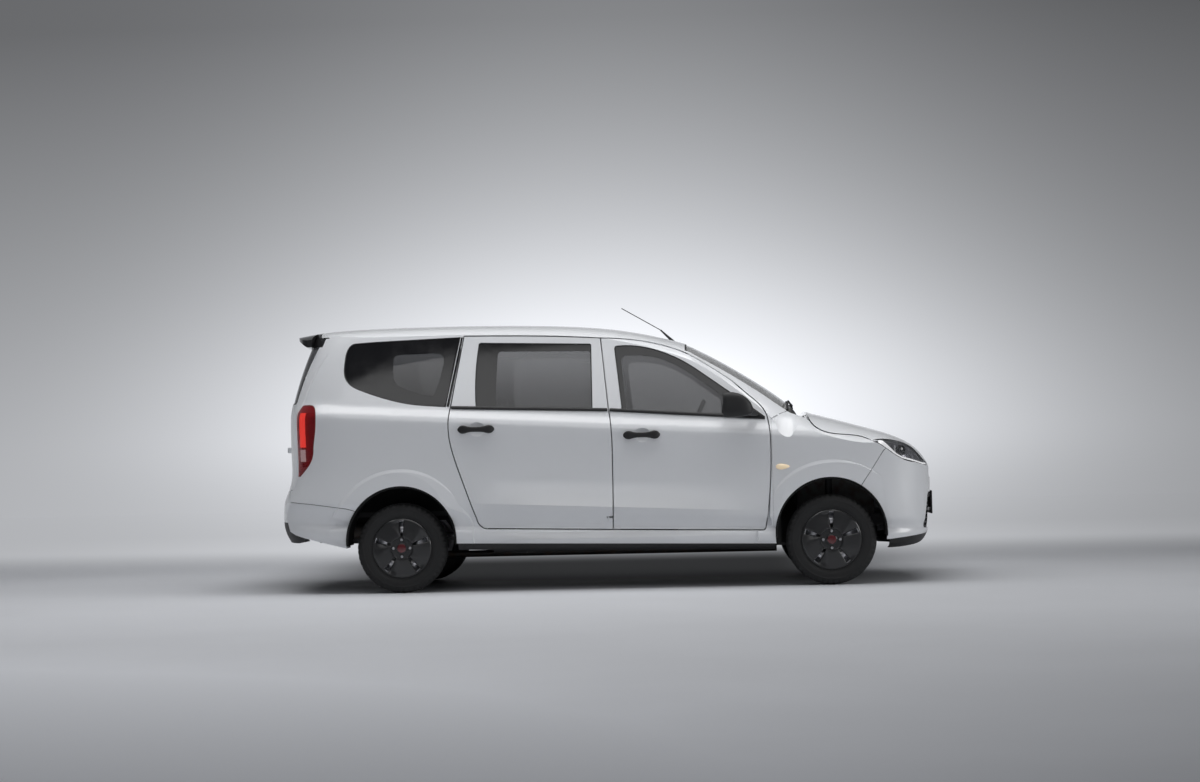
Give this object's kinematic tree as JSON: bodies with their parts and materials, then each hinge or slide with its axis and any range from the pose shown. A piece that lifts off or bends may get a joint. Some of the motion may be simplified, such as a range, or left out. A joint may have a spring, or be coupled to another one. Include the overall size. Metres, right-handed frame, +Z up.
{
  "type": "minivan",
  "caption": "White compact family minivan with opening doors, bonnet and tailgate, slotted black wheel covers and linked front steering",
  "frame": {"origin": "centre of the bounding box on the ground under the wheels", "axes": "+X forward, +Y to the van's left, +Z up"},
  "size_m": [4.4694, 1.98, 1.9035],
  "materials": {
    "white_paint": "gloss white paint",
    "clear_glass": "clear",
    "tinted_glass": "dark tint",
    "lamp_lens": "clear lens",
    "red_lens": "red lens",
    "black_trim": "textured black",
    "satin_black": "satin black",
    "chassis_black": "black chassis paint",
    "cast_iron": "cast iron",
    "seat_fabric": "woven",
    "tyre_rubber": "rubber",
    "steel": "steel",
    "cover_black": "satin black plastic",
    "plate_white": "blank plate",
    "handle_black": "gloss black"
  },
  "bodies": {
    "root": {"roof_panel": "white_paint", "windscreen": "clear_glass", "body_side_right": "white_paint", "body_side_left": "white_paint", "fender_right": "white_paint", "fender_left": "white_paint", "quarter_windows": "tinted_glass", "headlamps": "lamp_lens", "tail_lamps": "red_lens", "lower_trims": "black_trim", "front_bumper": "white_paint", "rear_bumper": "white_paint", "grille": "black_trim", "front_plate": "plate_white", "cowl": "black_trim", "dashboard": "satin_black", "floor_frame": "chassis_black", "wheel_housings": "black_trim", "antenna": "black_trim", "front_suspension": "chassis_black", "engine": "cast_iron", "rear_axle": "chassis_black", "rear_springs": "chassis_black", "exhaust": "steel", "front_seats": "seat_fabric", "rear_seats": "seat_fabric"},
    "door_front_left": {"door_front_left": "white_paint", "window_front_left": "clear_glass", "mirror_and_handle_left": "handle_black"},
    "door_front_right": {"door_front_right": "white_paint", "window_front_right": "clear_glass", "mirror_and_handle_right": "handle_black"},
    "door_rear_left": {"door_rear_left": "white_paint", "window_rear_left": "tinted_glass", "rear_handle_left": "handle_black"},
    "door_rear_right": {"door_rear_right": "white_paint", "window_rear_right": "tinted_glass", "rear_handle_right": "handle_black"},
    "bonnet": {"bonnet": "white_paint"},
    "tailgate": {"tailgate": "white_paint", "tailgate_window": "tinted_glass", "rear_plate": "plate_white"},
    "steering_wheel": {"steering_wheel": "satin_black"},
    "steering_rack": {"steering_rack": "steel"},
    "knuckle_left": {"knuckle_left": "cast_iron"},
    "knuckle_right": {"knuckle_right": "cast_iron"},
    "wheel_front_left": {"tyre_front_left": "tyre_rubber", "rim_front_left": "cover_black"},
    "wheel_front_right": {"tyre_front_right": "tyre_rubber", "rim_front_right": "cover_black"},
    "wheel_rear_left": {"tyre_rear_left": "tyre_rubber", "rim_rear_left": "cover_black"},
    "wheel_rear_right": {"tyre_rear_right": "tyre_rubber", "rim_rear_right": "cover_black"}
  },
  "joints": [
    {"name": "door_front_right_hinge", "type": "hinge", "parent": "root", "child": "door_front_right", "pos_m": [1.0635, -0.832, 0.7], "axis": [0, 0, 1], "range_deg": [0, 62]},
    {"name": "door_front_left_hinge", "type": "hinge", "parent": "root", "child": "door_front_left", "pos_m": [1.0635, 0.832, 0.7], "axis": [0, 0, -1], "range_deg": [0, 62]},
    {"name": "door_rear_right_hinge", "type": "hinge", "parent": "root", "child": "door_rear_right", "pos_m": [0.01575, -0.832, 0.7], "axis": [0, 0, 1], "range_deg": [0, 62]},
    {"name": "door_rear_left_hinge", "type": "hinge", "parent": "root", "child": "door_rear_left", "pos_m": [0.01575, 0.832, 0.7], "axis": [0, 0, -1], "range_deg": [0, 62]},
    {"name": "bonnet_hinge", "type": "hinge", "parent": "root", "child": "bonnet", "pos_m": [1.3595, 0, 1.087], "axis": [0, -1, 0], "range_deg": [0, 50]},
    {"name": "tailgate_hinge", "type": "hinge", "parent": "root", "child": "tailgate", "pos_m": [-1.9855, 0, 1.725], "axis": [0, 1, 0], "range_deg": [0, 75]},
    {"name": "steering_wheel_turn", "type": "hinge", "parent": "root", "child": "steering_wheel", "pos_m": [0.5805, 0.37, 1.076], "axis": [-0.9063, 0, 0.4226], "range_deg": [-495, 495]},
    {"name": "knuckle_left_steer", "type": "hinge", "parent": "root", "child": "knuckle_left", "pos_m": [1.4795, 0.6355, 0.298], "axis": [0, 0, 1], "range_deg": [-33, 33]},
    {"name": "knuckle_right_steer", "type": "hinge", "parent": "root", "child": "knuckle_right", "pos_m": [1.4795, -0.6355, 0.298], "axis": [0, 0, 1], "range_deg": [-33, 33]},
    {"name": "rack_slide", "type": "slide", "parent": "root", "child": "steering_rack", "axis": [0, 1, 0], "range_m": [-0.07372, 0.07372]},
    {"name": "wheel_front_left_spin", "type": "hinge", "parent": "knuckle_left", "child": "wheel_front_left", "pos_m": [1.4795, 0.7275, 0.298], "axis": [0, 1, 0], "continuous": true},
    {"name": "wheel_front_right_spin", "type": "hinge", "parent": "knuckle_right", "child": "wheel_front_right", "pos_m": [1.4795, -0.7275, 0.298], "axis": [0, 1, 0], "continuous": true},
    {"name": "wheel_rear_left_spin", "type": "hinge", "parent": "root", "child": "wheel_rear_left", "pos_m": [-1.3605, 0.7275, 0.298], "axis": [0, 1, 0], "continuous": true},
    {"name": "wheel_rear_right_spin", "type": "hinge", "parent": "root", "child": "wheel_rear_right", "pos_m": [-1.3605, -0.7275, 0.298], "axis": [0, 1, 0], "continuous": true}
  ],
  "couplings": [
    {"joint": "knuckle_right_steer", "follows": "knuckle_left_steer", "ratio": 1},
    {"joint": "steering_wheel_turn", "follows": "knuckle_left_steer", "ratio": 15},
    {"joint": "rack_slide", "follows": "knuckle_left_steer", "m_per_rad": -0.128}
  ]
}
